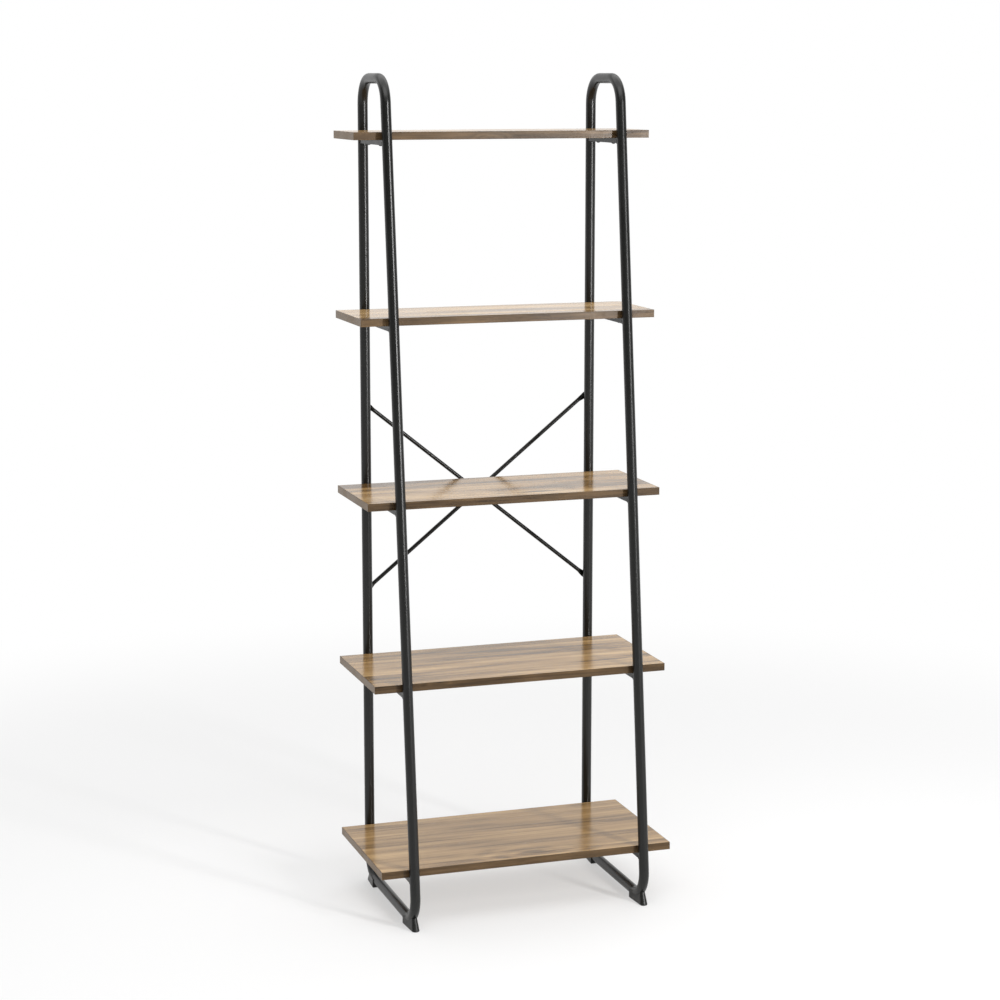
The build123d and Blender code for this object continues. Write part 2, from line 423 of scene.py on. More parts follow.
@dataclass(frozen=True)
class OakFigure:
    """Planked oak: rings, streaks, pores, a few knots and a tone for each plank."""

    # Heights of the levels, and how far each plank is drawn through the trunk
    first_level: float = 0.1
    level_pitch: float = 0.35
    level_shift: float = 0.217
    level_depth: float = 3.1
    plank_seed: float = 0.37
    trunk_length: float = 5.0
    trunk_depth: float = 7.0
    seam: Span = (0.012, 0.002)

    # Knots to a metre, and the ranges in which they come and fade
    knot_along: float = 2.6
    knot_across: float = 7.0
    knot_chance: Span = (0.62, 0.7)
    knot_reach: Span = (0.45, 0.0)
    knot_core: Span = (0.11, 0.02)
    knot_swirl: float = 0.5

    # Fields of the wood, from the widest to the finest
    sway: Grain = Grain(2.2, 6.0, detail=2.0)
    sway_width: float = 0.014
    growth: Grain = Grain(0.9, 13.0, detail=1.5, twist=0.35)
    ring_turns: float = 30.0
    bands: Grain = Grain(2.4, 29.0, detail=3.0)
    streaks: Grain = Grain(3.4, 130.0, detail=5.0, rough=0.68)
    flecks: Grain = Grain(34.0, 1300.0, detail=1.0)
    pore: Span = (0.56, 0.68)
    ring_hold: float = 0.65

    # Share of each field in the tone, and of each colour in the mix
    band_tone: float = 1.4
    streak_tone: float = 0.95
    ring_tone: float = 0.14
    plank_tone: float = 0.3
    knot_tone: float = 0.5
    tone_start: float = 0.895
    deep_to_middle: Span = (0.16, 0.52)
    middle_to_pale: Span = (0.46, 0.86)
    grey_share: float = 0.35
    pore_share: float = 0.55
    seam_share: float = 0.45
    streak_height: float = 0.5

    def planks(self, w: Wiring, takes: bpy.types.NodeOutputs) -> Plank:
        """Cuts each board into planks, every one from its own place in the trunk.

        Args:
            w: The group's wiring.
            takes: The group's inputs.

        Returns:
            Where a point lies on its plank.
        """
        x, y, z = w.split(takes["Vector"])
        height = w.math("SUBTRACT", z, self.first_level)
        level = w.math("FLOOR", w.math("DIVIDE", height, self.level_pitch))
        across = w.math("MULTIPLY_ADD", level, self.level_shift, y)
        counted = w.math("DIVIDE", across, takes["Plank Width"])
        draw = w.node("ShaderNodeTexWhiteNoise", noise_dimensions="3D")
        w.feed(draw.inputs["Vector"], w.vector(w.math("FLOOR", counted), level, self.plank_seed))
        own, slide, layer = w.split(draw.outputs["Color"])
        along = w.math("MULTIPLY_ADD", slide, self.trunk_length, x)
        depth = w.math("MULTIPLY_ADD", layer, self.trunk_depth, w.times(level, self.level_depth))
        share = w.math("FRACT", counted)
        rim = w.math("MINIMUM", share, w.math("SUBTRACT", 1.0, share))
        return Plank(along, across, depth, rim, own, layer)

    def knots(self, w: Wiring, plank: Plank) -> tuple[Socket, Socket]:
        """Scatters a few knots over the planks.

        Args:
            w: The group's wiring.
            plank: Where a point lies.

        Returns:
            Masks of the wood that swirls round a knot and of the knot's core.
        """
        knot = w.node("ShaderNodeTexVoronoi", voronoi_dimensions="2D", feature="F1")
        w.feed(knot.inputs["Scale"], 1.0)
        along = w.times(plank.along, self.knot_along)
        across = w.times(plank.across, self.knot_across)
        w.feed(knot.inputs["Vector"], w.vector(along, across, 0.0))
        chance = w.remap(w.split(knot.outputs["Color"])[0], self.knot_chance)
        near = w.times(chance, w.remap(knot.outputs["Distance"], self.knot_reach))
        core = w.times(chance, w.remap(knot.outputs["Distance"], self.knot_core))
        return near, core

    def build(self) -> bpy.types.NodeTree:
        """Makes the group.

        Returns:
            The group. Its Vector has the grain along X.
        """
        w, takes, gives = new_group(
            "Oak figure",
            {
                "Vector": "Vector",
                "Plank Width": "Float",
                "Pale": "Color",
                "Middle": "Color",
                "Deep": "Color",
                "Grey": "Color",
            },
            {"Color": "Color", "Pores": "Float", "Height": "Float"},
        )
        plank = self.planks(w, takes)
        near, core = self.knots(w, plank)
        sway = self.sway.field(w, plank.along, plank.across, plank.depth)
        bent = w.math("MULTIPLY_ADD", sway, self.sway_width, plank.across)
        growth = self.growth.field(w, plank.along, bent, plank.depth)
        swirl = w.math("MULTIPLY_ADD", near, self.knot_swirl, growth)
        rings = w.math("MULTIPLY_ADD", w.math("SINE", w.times(swirl, self.ring_turns)), 0.5, 0.5)
        bands = self.bands.field(w, plank.along, bent, plank.depth)
        streaks = self.streaks.field(w, plank.along, bent, plank.depth)
        flecks = self.flecks.field(w, plank.along, bent, plank.depth)
        held = w.math("MULTIPLY_ADD", rings, -self.ring_hold, 1.0)
        pores = w.times(w.remap(flecks, self.pore), held)
        seam = w.remap(plank.rim, self.seam)

        tone = w.math("MULTIPLY_ADD", bands, self.band_tone, w.times(streaks, self.streak_tone))
        tone = w.math("MULTIPLY_ADD", rings, self.ring_tone, tone)
        tone = w.math("SUBTRACT", tone, self.tone_start)
        tone = w.math("MULTIPLY_ADD", plank.own, self.plank_tone, tone)
        tone = w.math("SUBTRACT", tone, w.times(core, self.knot_tone))
        colour = w.mix(w.remap(tone, self.deep_to_middle), takes["Deep"], takes["Middle"])
        colour = w.mix(w.remap(tone, self.middle_to_pale), colour, takes["Pale"])
        colour = w.mix(w.times(plank.layer, self.grey_share), colour, takes["Grey"])
        colour = w.mix(w.times(pores, self.pore_share), colour, takes["Deep"])
        colour = w.mix(w.times(seam, self.seam_share), colour, takes["Deep"])
        w.feed(gives["Color"], colour)
        w.feed(gives["Pores"], pores)
        dents = w.math("MAXIMUM", pores, seam)
        w.feed(gives["Height"], w.math("SUBTRACT", w.times(streaks, self.streak_height), dents))
        return w.tree


@dataclass(frozen=True)
class Effects:
    """Shader node groups that several finishes share, each built once."""

    edge_wear: bpy.types.NodeTree
    fine_texture: bpy.types.NodeTree
    oak_figure: bpy.types.NodeTree


def cleared(owner: Union[bpy.types.Material, bpy.types.World]) -> Wiring:
    """Empties the node tree of a material or a world.

    Args:
        owner: The material or the world.

    Returns:
        The wiring of its empty tree.
    """
    owner.use_nodes = True
    owner.node_tree.nodes.clear()
    return Wiring(owner.node_tree)


def new_material(name: str) -> tuple[bpy.types.Material, Wiring, bpy.types.NodeInputs]:
    """Starts a material with one Principled shader.

    Args:
        name: The material's name.

    Returns:
        The material, its wiring and the inputs of its shader.
    """
    material = bpy.data.materials.new(name)
    wiring = cleared(material)
    shader = wiring.node("ShaderNodeBsdfPrincipled")
    end = wiring.node("ShaderNodeOutputMaterial")
    wiring.feed(end.inputs["Surface"], shader.outputs[0])
    return material, wiring, shader.inputs


def add_bump(
    w: Wiring, shader: bpy.types.NodeInputs, height: Feed, strength: float, distance: float
) -> None:
    """Joins a height field to a shader's normal.

    Args:
        w: The material's wiring.
        shader: Inputs of the shader.
        height: The height field.
        strength: Share of the bump that shows.
        distance: Height of the field in metres.
    """
    bump = w.node("ShaderNodeBump")
    w.feed(bump.inputs["Strength"], strength)
    w.feed(bump.inputs["Distance"], distance)
    w.feed(bump.inputs["Height"], height)
    w.feed(shader["Normal"], bump.outputs[0])


@dataclass(frozen=True)
class SprayedCoat:
    """Satin powder coat, moulded plastic or blackened steel: a dark skin with a fine texture."""

    name: str
    dark: Rgb
    light: Rgb
    worn: Rgb
    smooth: float
    rough: float
    coarse: float
    fine: float
    bump: float
    bump_share: float = 0.6
    specular: float = 0.4
    metallic: float = 0.0
    wear_radius: float = 0.8 * MM
    wear_patches: float = 160.0
    cloud: float = 7.0

    def material(self, effects: Effects) -> bpy.types.Material:
        """Makes the finish.

        Args:
            effects: The shared node groups.

        Returns:
            The material.
        """
        made, w, shader = new_material(self.name)
        place = w.node("ShaderNodeTexCoord").outputs["Object"]
        skin = w.group(
            effects.fine_texture, vector=place, coarse=self.coarse, fine=self.fine, cloud=self.cloud
        )
        wear = w.group(
            effects.edge_wear, vector=place, radius=self.wear_radius, patch_scale=self.wear_patches
        )
        colour = w.mix(skin["Mottle"], self.dark, self.light)
        w.feed(shader["Base Color"], w.mix(wear["Mask"], colour, self.worn))
        w.feed(shader["Roughness"], w.remap(skin["Smudge"], FULL, (self.smooth, self.rough)))
        w.feed(shader["Specular IOR Level"], self.specular)
        w.feed(shader["Metallic"], self.metallic)
        add_bump(w, shader, skin["Height"], self.bump_share, self.bump)
        return made


@dataclass(frozen=True)
class OakDecor:
    """Printed oak on a board or its edge band, with pores that dull and dent the film.

    The darker arris, the lighter ends (painted light) and the turn of the grain are for edge bands alone.
    """

    name: str
    run: GrainRun
    pale: Rgb
    middle: Rgb
    deep: Rgb
    grey: Rgb
    plank_width: float
    smooth: float
    rough: float
    specular: float
    pore_dulling: float = 0.12
    film_coarse: float = 420.0
    film_fine: float = 1500.0
    film_cloud: float = 5.0
    film_height: float = 0.12
    bump: float = 0.06 * MM
    bump_share: float = 0.35
    arris: float = 0.0
    arris_patches: float = 25.0
    # Painted light: a lighter colour laid on the strips at the board's ends, and its share
    ends: Rgb = (0.0, 0.0, 0.0)
    ends_share: float = 0.8
    ends_facing: Span = (0.6, 0.8)
    ends_shift: float = 0.9
    strip_along: float = 3.0
    strip_across: float = 2.5

    def material(self, effects: Effects) -> bpy.types.Material:
        """Makes the finish.

        Args:
            effects: The shared node groups.

        Returns:
            The material.
        """
        made, w, shader = new_material(self.name)
        sheet = w.node("ShaderNodeTexCoord")
        place = sheet.outputs["Object"]
        end: Feed = 0.0
        if self.run is GrainRun.ROUND_EDGE:
            place, end = self.turned(w, sheet)
        figure = w.group(
            effects.oak_figure,
            vector=place,
            plank_width=self.plank_width,
            pale=self.pale,
            middle=self.middle,
            deep=self.deep,
            grey=self.grey,
        )
        skin = w.group(
            effects.fine_texture,
            vector=place,
            coarse=self.film_coarse,
            fine=self.film_fine,
            cloud=self.film_cloud,
        )
        film = w.remap(skin["Smudge"], FULL, (self.smooth, self.rough))
        colour = figure["Color"]
        if self.run is GrainRun.ROUND_EDGE:
            # Painted light: the strips on the board's ends take the lighter ends colour.
            colour = w.mix(w.times(end, self.ends_share), colour, self.ends)
            # The band is drawn darker along its arrises, towards the deep colour.
            line = w.group(
                effects.edge_wear, vector=place, radius=self.arris, patch_scale=self.arris_patches
            )
            colour = w.mix(line["Mask"], colour, self.deep)
        w.feed(shader["Base Color"], colour)
        w.feed(shader["Roughness"], w.math("MULTIPLY_ADD", figure["Pores"], self.pore_dulling, film))
        w.feed(shader["Specular IOR Level"], self.specular)
        height = w.math("MULTIPLY_ADD", skin["Height"], self.film_height, figure["Height"])
        add_bump(w, shader, height, self.bump_share, self.bump)
        return made

    def turned(self, w: Wiring, sheet: bpy.types.Node) -> tuple[Socket, Socket]:
        """Turns the grain to run along the strip that a point lies on.

        Args:
            w: The material's wiring.
            sheet: The Texture Coordinate node.

        Returns:
            Coordinates with the grain along X and the strip's height across it, and a mask of the strips
            on the board's ends, which turns their grain and takes their painted light.
        """
        x, y, z = w.split(sheet.outputs["Object"])
        facing = w.math("ABSOLUTE", w.split(sheet.outputs["Normal"])[0])
        end = w.remap(facing, self.ends_facing)
        run = w.math("ADD", w.times(y, end), w.times(x, w.math("SUBTRACT", 1.0, end)))
        across = w.math("MULTIPLY_ADD", end, self.ends_shift, w.times(z, self.strip_across))
        return w.vector(w.times(run, self.strip_along), across, z), end


BLACK: Rgb = (0.005, 0.0052, 0.0047)
BLACK_LIGHT: Rgb = (0.0085, 0.0087, 0.0078)
RUBBED: Rgb = (0.03, 0.03, 0.028)

FRAME_COAT = SprayedCoat(
    "frame_coat_satin_black",
    dark=BLACK,
    light=BLACK_LIGHT,
    worn=RUBBED,
    smooth=0.28,
    rough=0.33,
    coarse=900.0,
    fine=3200.0,
    bump=0.0015 * MM,
)
BAR_COAT = SprayedCoat(
    "bar_coat_satin_black",
    dark=BLACK,
    light=BLACK_LIGHT,
    worn=RUBBED,
    smooth=0.26,
    rough=0.34,
    coarse=1000.0,
    fine=3400.0,
    bump=0.01 * MM,
    specular=0.18,
)
BRACE_COAT = SprayedCoat(
    "brace_coat_satin_black",
    dark=BLACK,
    light=BLACK_LIGHT,
    worn=RUBBED,
    smooth=0.26,
    rough=0.32,
    coarse=700.0,
    fine=2400.0,
    bump=0.001 * MM,
    specular=0.3,
    cloud=12.0,
)
FOOT_PLASTIC = SprayedCoat(
    "foot_plastic_matt_black",
    dark=(0.0085, 0.0087, 0.0079),
    light=(0.0135, 0.0136, 0.0124),
    worn=RUBBED,
    smooth=0.36,
    rough=0.48,
    coarse=1500.0,
    fine=5200.0,
    bump=0.07 * MM,
    cloud=28.0,
)
SCREW_BLACK = SprayedCoat(
    "screw_black_oxide",
    dark=(0.03, 0.03, 0.033),
    light=(0.065, 0.064, 0.066),
    worn=(0.22, 0.21, 0.2),
    smooth=0.34,
    rough=0.5,
    coarse=2400.0,
    fine=7000.0,
    bump=0.02 * MM,
    metallic=0.75,
    wear_radius=0.35 * MM,
    cloud=60.0,
)
BOARD_DECOR = OakDecor(
    "board_decor_brown_oak",
    run=GrainRun.ALONG_BOARD,
    pale=(0.62, 0.41, 0.19),
    middle=(0.375, 0.228, 0.092),
    deep=(0.105, 0.057, 0.019),
    grey=(0.32, 0.21, 0.105),
    plank_width=0.128,
    smooth=0.16,
    rough=0.2,
    specular=0.34,
)
# Painted shade: the edge band's colours are a much darker copy of the board's oak, standing in for the
# lesser light on its upright faces. The ends colour, lighter than the band's other colours, is painted
# light on the strips at the board's ends.
SHADED_EDGE_DECOR = OakDecor(
    "edge_decor_brown_oak_painted_shade",
    run=GrainRun.ROUND_EDGE,
    pale=(0.156, 0.094, 0.043),
    middle=(0.085, 0.05, 0.0215),
    deep=(0.037, 0.02, 0.0075),
    grey=(0.085, 0.054, 0.028),
    plank_width=0.2,
    smooth=0.3,
    rough=0.38,
    specular=0.22,
    arris=1.6 * MM,
    ends=(0.175, 0.109, 0.051),
)


def dress(names: Sequence[str], material: bpy.types.Material) -> None:
    """Gives CAD nodes a finish.

    Args:
        names: Names of the nodes.
        material: The finish.
    """
    for name in names:
        slots = frame["nodes"][name].material_slots
        if not slots:
            frame["nodes"][name].data.materials.append(material)
        for slot in slots:
            slot.material = material
    LOG.info("dressed %d with %s: %s", len(names), material.name, ", ".join(names))


def link(name: str, mesh: bpy.types.Mesh) -> bpy.types.Object:
    """Puts a mesh into the scene.

    Args:
        name: Name of the object.
        mesh: Its mesh.

    Returns:
        The object, at the origin.
    """
    made = bpy.data.objects.new(name, mesh)
    bpy.context.scene.collection.objects.link(made)
    return made


def as_mesh(shape: bmesh.types.BMesh, name: str) -> bpy.types.Mesh:
    """Turns a worked shape into a mesh and frees it.

    Args:
        shape: The shape.
        name: Name of the mesh.

    Returns:
        The mesh.
    """
    mesh = bpy.data.meshes.new(name)
    shape.to_mesh(mesh)
    shape.free()
    return mesh


def worked(piece: bpy.types.Object) -> bpy.types.Mesh:
    """Takes the mesh of a piece as its modifiers leave it.

    Args:
        piece: The piece.

    Returns:
        A new mesh.
    """
    bpy.context.view_layer.update()
    shape = piece.evaluated_get(bpy.context.evaluated_depsgraph_get())
    return bpy.data.meshes.new_from_object(shape)


def grow(
    name: str, mesh: bpy.types.Mesh, tree: bpy.types.NodeTree, sizes: dict[str, Any]
) -> bpy.types.Object:
    """Runs a geometry node tree on a mesh and keeps the result as a plain mesh.

    Args:
        name: Name of the piece.
        mesh: The points or paths that the tree starts from.
        tree: The geometry node tree.
        sizes: Values for the tree's named inputs.

    Returns:
        The piece, at the origin and with no modifier.
    """
    piece = link(name, mesh)
    modifier = piece.modifiers.new("grow", "NODES")
    modifier.node_group = tree
    for item in tree.interface.items_tree:
        if item.in_out == "INPUT" and item.name in sizes:
            modifier[item.identifier] = sizes[item.name]
    result = worked(piece)
    result.name = name
    piece.modifiers.remove(modifier)
    piece.data = result
    return piece


def hand_over(piece: bpy.types.Object) -> None:
    """Lets a finished piece ride on the shelf and reports it.

    Args:
        piece: The piece.
    """
    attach(piece, BODY)
    LOG.info("made %s with %d faces", piece.name, len(piece.data.polygons))


@dataclass
class SideFrames:
    """The two bent tube loops, with the line of their legs."""

    tube_radius: float = 10 * MM
    bend_radius: float = 50 * MM
    sole: float = 5 * MM
    top_spacing: float = 160 * MM
    names: tuple[str, ...] = ("left_side_frame", "right_side_frame")

    def __post_init__(self) -> None:
        """Reads the place of the legs from the CAD boxes."""
        low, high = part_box(self.names[1])
        self.rear_y = high.y - self.tube_radius
        self.top_z = high.z - self.tube_radius
        self.front_top_y = self.rear_y - self.top_spacing
        run = self.front_top_y - (low.y + self.tube_radius + self.bend_radius)
        rise = self.top_z - (self.sole + self.tube_radius + self.bend_radius)
        self.lean = atan2(run, rise) + asin(self.bend_radius / hypot(run, rise))

    def rear_face(self, x: float, z: float) -> float:
        """Y of a rear leg's front face at an offset X from its axis, at any height."""
        return self.rear_y - sqrt(self.tube_radius**2 - x**2)

    def front_face(self, x: float, z: float) -> float:
        """Y of a front leg's rear face at an offset X from its axis and a height."""
        axis = self.front_top_y - (self.top_z - z) * tan(self.lean)
        return axis + sqrt(self.tube_radius**2 - x**2) / cos(self.lean)

    def dress(self, coat: bpy.types.Material) -> None:
        """Coats the loops."""
        dress(self.names, coat)


@dataclass
class CrossBars:
    """The ten bars under the board ends, with the weld beads that hold them to the legs."""

    frames: SideFrames
    bead_radius: float = 1.5 * MM
    bead_sides: int = 10
    ripple_pitch: float = 1.9 * MM
    ripple_depth: float = 0.2
    step: float = 0.45 * MM
    taper: float = 2.4 * MM
    taper_end: float = 0.3
    top_gap: float = 1.8 * MM
    underside_spans: int = 5

    @property
    def names(self) -> list[str]:
        """Names of the bars."""
        return [f"{side.word}_{level.word}_bar" for level in Level for side in Side]

    def bar_paths(self, name: str) -> list[list[Point]]:
        """Lays a bead round the sides and the underside of a bar at each leg.

        Args:
            name: The bar's name.

        Returns:
            Two paths of points.
        """
        low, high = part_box(name)
        middle, half = (low.x + high.x) / 2, (high.x - low.x) / 2
        outline = [(-half, high.z - self.top_gap), (-half, low.z)]
        span = 2 * half / self.underside_spans
        outline += [(-half + span * k, low.z) for k in range(1, self.underside_spans)]
        outline += [(half, low.z), (half, high.z - self.top_gap)]
        faces = (self.frames.front_face, self.frames.rear_face)
        return [[(middle + x, face(x, z), z) for x, z in outline] for face in faces]

    def bead_tree(self) -> bpy.types.NodeTree:
        """Builds the tree that turns paths into rippled weld beads.

        Returns:
            The geometry node tree.
        """
        w, takes, gives = new_group(
            "Weld bead",
            {
                "Geometry": "Geometry",
                "Radius": "Float",
                "Sides": "Int",
                "Ripple Pitch": "Float",
                "Ripple Depth": "Float",
                "Step": "Float",
                "Taper": "Float",
                "Material": "Material",
            },
            {"Geometry": "Geometry"},
            "GeometryNodeTree",
        )
        path = w.node("GeometryNodeMeshToCurve")
        w.feed(path.inputs["Mesh"], takes["Geometry"])
        even = w.node("GeometryNodeResampleCurve", mode="LENGTH")
        w.feed(even.inputs["Curve"], path.outputs[0])
        w.feed(even.inputs["Length"], takes["Step"])
        run = w.node("GeometryNodeSplineParameter").outputs["Length"]
        whole = w.node("GeometryNodeSplineLength").outputs["Length"]
        wave = w.math("SINE", w.math("DIVIDE", w.times(run, 2 * pi), takes["Ripple Pitch"]))
        ripple = w.math("MULTIPLY_ADD", w.times(wave, takes["Ripple Depth"]), 0.5, 1.0)
        to_end = w.math("MINIMUM", run, w.math("SUBTRACT", whole, run))
        taper = w.remap(w.math("DIVIDE", to_end, takes["Taper"]), FULL, (self.taper_end, 1.0))
        thick = w.times(w.times(ripple, taper), takes["Radius"])
        circle = w.node("GeometryNodeCurvePrimitiveCircle", mode="RADIUS")
        w.feed(circle.inputs["Resolution"], takes["Sides"])
        w.feed(circle.inputs["Radius"], 1.0)
        skin = w.node("GeometryNodeCurveToMesh")
        w.feed(skin.inputs["Curve"], even.outputs[0])
        w.feed(skin.inputs["Profile Curve"], circle.outputs[0])
        w.feed(skin.inputs["Scale"], thick)
        w.feed(skin.inputs["Fill Caps"], True)
        smooth = w.node("GeometryNodeSetShadeSmooth")
        w.feed(smooth.inputs[0], skin.outputs[0])
        end_tree(w, smooth.outputs[0], takes["Material"], gives["Geometry"])
        return w.tree

    def build(self, coat: bpy.types.Material) -> bpy.types.Object:
        """Welds the bars to the legs.

        Args:
            coat: The finish of the beads.

        Returns:
            The piece of beads.
        """
        mesh = bpy.data.meshes.new("bar_weld_beads")
        points: list[Point] = []
        edges: list[tuple[int, int]] = []
        for path in (path for name in self.names for path in self.bar_paths(name)):
            edges += [(len(points) + k, len(points) + k + 1) for k in range(len(path) - 1)]
            points += path
        mesh.from_pydata(points, edges, [])
        sizes = {
            "Radius": self.bead_radius,
            "Sides": self.bead_sides,
            "Ripple Pitch": self.ripple_pitch,
            "Ripple Depth": self.ripple_depth,
            "Step": self.step,
            "Taper": self.taper,
            "Material": coat,
        }
        return grow("bar_weld_beads", mesh, self.bead_tree(), sizes)

    def dress(self, coat: bpy.types.Material) -> None:
        """Coats the bars."""
        dress(self.names, coat)


@dataclass
class Boards:
    """The five boards and their edge bands."""

    levels: tuple[Level, ...] = tuple(Level)

    def dress(self, decor: bpy.types.Material, edge: bpy.types.Material) -> None:
        """Lays the decor on the boards and the bands.

        Args:
            decor: Finish of the boards' faces.
            edge: Finish of the edge bands, a darker copy of the decor with painted shade.
        """
        dress([f"{level.word}_board" for level in self.levels], decor)
        dress([f"{level.word}_edge_band" for level in self.levels], edge)


@dataclass
class BoardScrews:
    """Pan-head screws with a cross recess, two up through each bar."""

    head_radius: float = 4.0 * MM
    head_height: float = 2.6 * MM
    head_rim: float = 0.8 * MM
    head_steps: int = 8
    rim_chamfer: float = 0.15 * MM
    shank_radius: float = 2.0 * MM
    tip: float = 3.0 * MM
    recess_depth: float = 1.5 * MM
    recess_reach: float = 2.1 * MM
    recess_half: float = 0.48 * MM
    recess_over: float = 0.6 * MM
    recess_mouth: float = 1.25
    recess_floor: float = 0.55
    steps: int = 32
    seed: int = 7

    @property
    def names(self) -> list[str]:
        """Names of the CAD nodes that these screws stand for."""
        return [f"{level.word}_board_screws" for level in Level]

    def places(self) -> list[Point]:
        """Finds the seat of every screw from the boxes of the CAD nodes.

        Returns:
            The middle of each head's seat.
        """
        found = []
        for name in self.names:
            low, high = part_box(name)
            inset = self.head_radius
            for x in (low.x + inset, high.x - inset):
                for y in (low.y + inset, high.y - inset):
                    found.append((x, y, low.z + self.head_height))
        return found

    def profile(self, length: float) -> list[tuple[float, float]]:
        """Draws half a screw, from the middle of its head to its tip.

        Args:
            length: Length from the seat to the tip.

        Returns:
            Radius and height of each corner.
        """
        drop = self.head_height - self.head_rim
        dome = (self.head_radius**2 + drop**2) / (2 * drop)
        reach = asin(self.head_radius / dome)
        turns = [reach * k / self.head_steps for k in range(self.head_steps + 1)]
        arc = [(dome * sin(turn), dome * (1 - cos(turn)) - self.head_height) for turn in turns]
        rim = [(self.head_radius, -self.rim_chamfer), (self.head_radius - self.rim_chamfer, 0.0)]
        shank = [(self.shank_radius, 0.0), (self.shank_radius, length - self.tip), (0.0, length)]
        return arc + rim + shank

    def turn(self, length: float) -> bpy.types.Mesh:
        """Turns the screw's body as on a lathe.

        Args:
            length: Length from the seat to the tip.

        Returns:
            The mesh, standing at the origin with its seat on Z = 0.
        """
        shape = bmesh.new()
        corners = [shape.verts.new((r, 0.0, z)) for r, z in self.profile(length)]
        lines = [shape.edges.new(pair) for pair in zip(corners, corners[1:])]
        bmesh.ops.spin(shape, geom=corners + lines, axis=(0, 0, 1), cent=(0, 0, 0), angle=2 * pi,
                       steps=self.steps, use_merge=True)
        bmesh.ops.remove_doubles(shape, verts=shape.verts, dist=MERGE_DISTANCE)
        bmesh.ops.recalc_face_normals(shape, faces=shape.faces)
        return as_mesh(shape, "board_screw")

    def recess(self) -> bpy.types.Mesh:
        """Shapes the tapered cross that is taken out of the head.

        Returns:
            The closed mesh of the cross.
        """
        shape = bmesh.new()
        ends = (
            (-self.head_height - self.recess_over, self.recess_mouth),
            (-self.head_height + self.recess_depth, self.recess_floor),
        )
        rings = []
        for z, share in ends:
            wide, reach = self.recess_half * share, self.recess_reach * share
            quarter = [(reach, -wide), (reach, wide), (wide, wide)]
            ring = []
            for c, s in ((1, 0), (0, 1), (-1, 0), (0, -1)):
                ring += [shape.verts.new((x * c - y * s, x * s + y * c, z)) for x, y in quarter]
            rings.append(ring)
        mouth, floor = rings
        for k, corner in enumerate(mouth):
            n = (k + 1) % len(mouth)
            shape.faces.new((corner, mouth[n], floor[n], floor[k]))
        shape.faces.new(mouth)
        shape.faces.new(floor)
        bmesh.ops.recalc_face_normals(shape, faces=shape.faces)
        return as_mesh(shape, "screw_recess")

    def screw(self, length: float) -> bpy.types.Object:
        """Makes one screw with its recess cut.

        Args:
            length: Length from the seat to the tip.

        Returns:
            The screw as a pattern, which goes when the screws are set.
        """
        body = link("screw_pattern", self.turn(length))
        cutter = link("recess_pattern", self.recess())
        cut = body.modifiers.new("recess", "BOOLEAN")
        cut.operation = "DIFFERENCE"
        cut.solver = "EXACT"
        cut.object = cutter
        shape = bmesh.new()
        shape.from_mesh(worked(body))
        body.modifiers.remove(cut)
        bpy.data.objects.remove(cutter)
        bmesh.ops.remove_doubles(shape, verts=shape.verts, dist=MERGE_DISTANCE)
        bmesh.ops.dissolve_degenerate(shape, edges=shape.edges, dist=MERGE_DISTANCE)
        body.data = as_mesh(shape, "board_screw")
        return body

    def set_tree(self) -> bpy.types.NodeTree:
        """Builds the tree that sets a screw on every point, each turned as it was driven.

        Returns:
            The geometry node tree.
        """
        w, takes, gives = new_group(
            "Screw set",
            {"Geometry": "Geometry", "Screw": "Object", "Seed": "Int", "Material": "Material"},
            {"Geometry": "Geometry"},
            "GeometryNodeTree",
        )
        pattern = w.node("GeometryNodeObjectInfo", transform_space="ORIGINAL")
        w.feed(pattern.inputs["Object"], takes["Screw"])
        angle = w.node("FunctionNodeRandomValue", data_type="FLOAT")
        most = next(s for s in angle.inputs if s.enabled and s.name == "Max")
        w.feed(most, 2 * pi)
        w.feed(angle.inputs["Seed"], takes["Seed"])
        drawn = next(s for s in angle.outputs if s.enabled)
        put = w.node("GeometryNodeInstanceOnPoints")
        w.feed(put.inputs["Points"], takes["Geometry"])
        w.feed(put.inputs["Instance"], pattern.outputs["Geometry"])
        w.feed(put.inputs["Rotation"], w.vector(0.0, 0.0, drawn))
        end_tree(w, put.outputs[0], takes["Material"], gives["Geometry"])
        return w.tree

    def build(self, steel: bpy.types.Material) -> bpy.types.Object:
        """Drives the twenty screws.

        Args:
            steel: Their finish.

        Returns:
            The piece that stands for the CAD screws.
        """
        low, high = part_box(self.names[0])
        pattern = self.screw(high.z - low.z - self.head_height)
        points = bpy.data.meshes.new("board_screws")
        points.from_pydata(self.places(), [], [])
        sizes = {"Screw": pattern, "Seed": self.seed, "Material": steel}
        piece = grow("board_screws", points, self.set_tree(), sizes)
        bpy.data.objects.remove(pattern)
        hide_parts(*self.names)
        return piece


@dataclass
class CrossBrace:
    """The crossed rods behind the rear legs and the bolts and rivet nuts that hold them."""

    rods: tuple[str, ...] = ("rising_brace", "falling_brace")
    fasteners: tuple[str, ...] = ("brace_bolts", "brace_inserts")

    def dress(self, coat: bpy.types.Material, steel: bpy.types.Material) -> None:
        """Coats the rods and blackens the fasteners.

        Args:
            coat: Finish of the rods.
            steel: Finish of the bolts and rivet nuts.
        """
        dress(self.rods, coat)
        dress(self.fasteners, steel)


@dataclass
class Feet:
    """The four moulded saddle feet."""

    ends: tuple[str, ...] = ("front", "rear")

    def dress(self, plastic: bpy.types.Material) -> None:
        """Gives the feet their moulded skin."""
        dress([f"{end}_{side.word}_foot" for end in self.ends for side in Side], plastic)


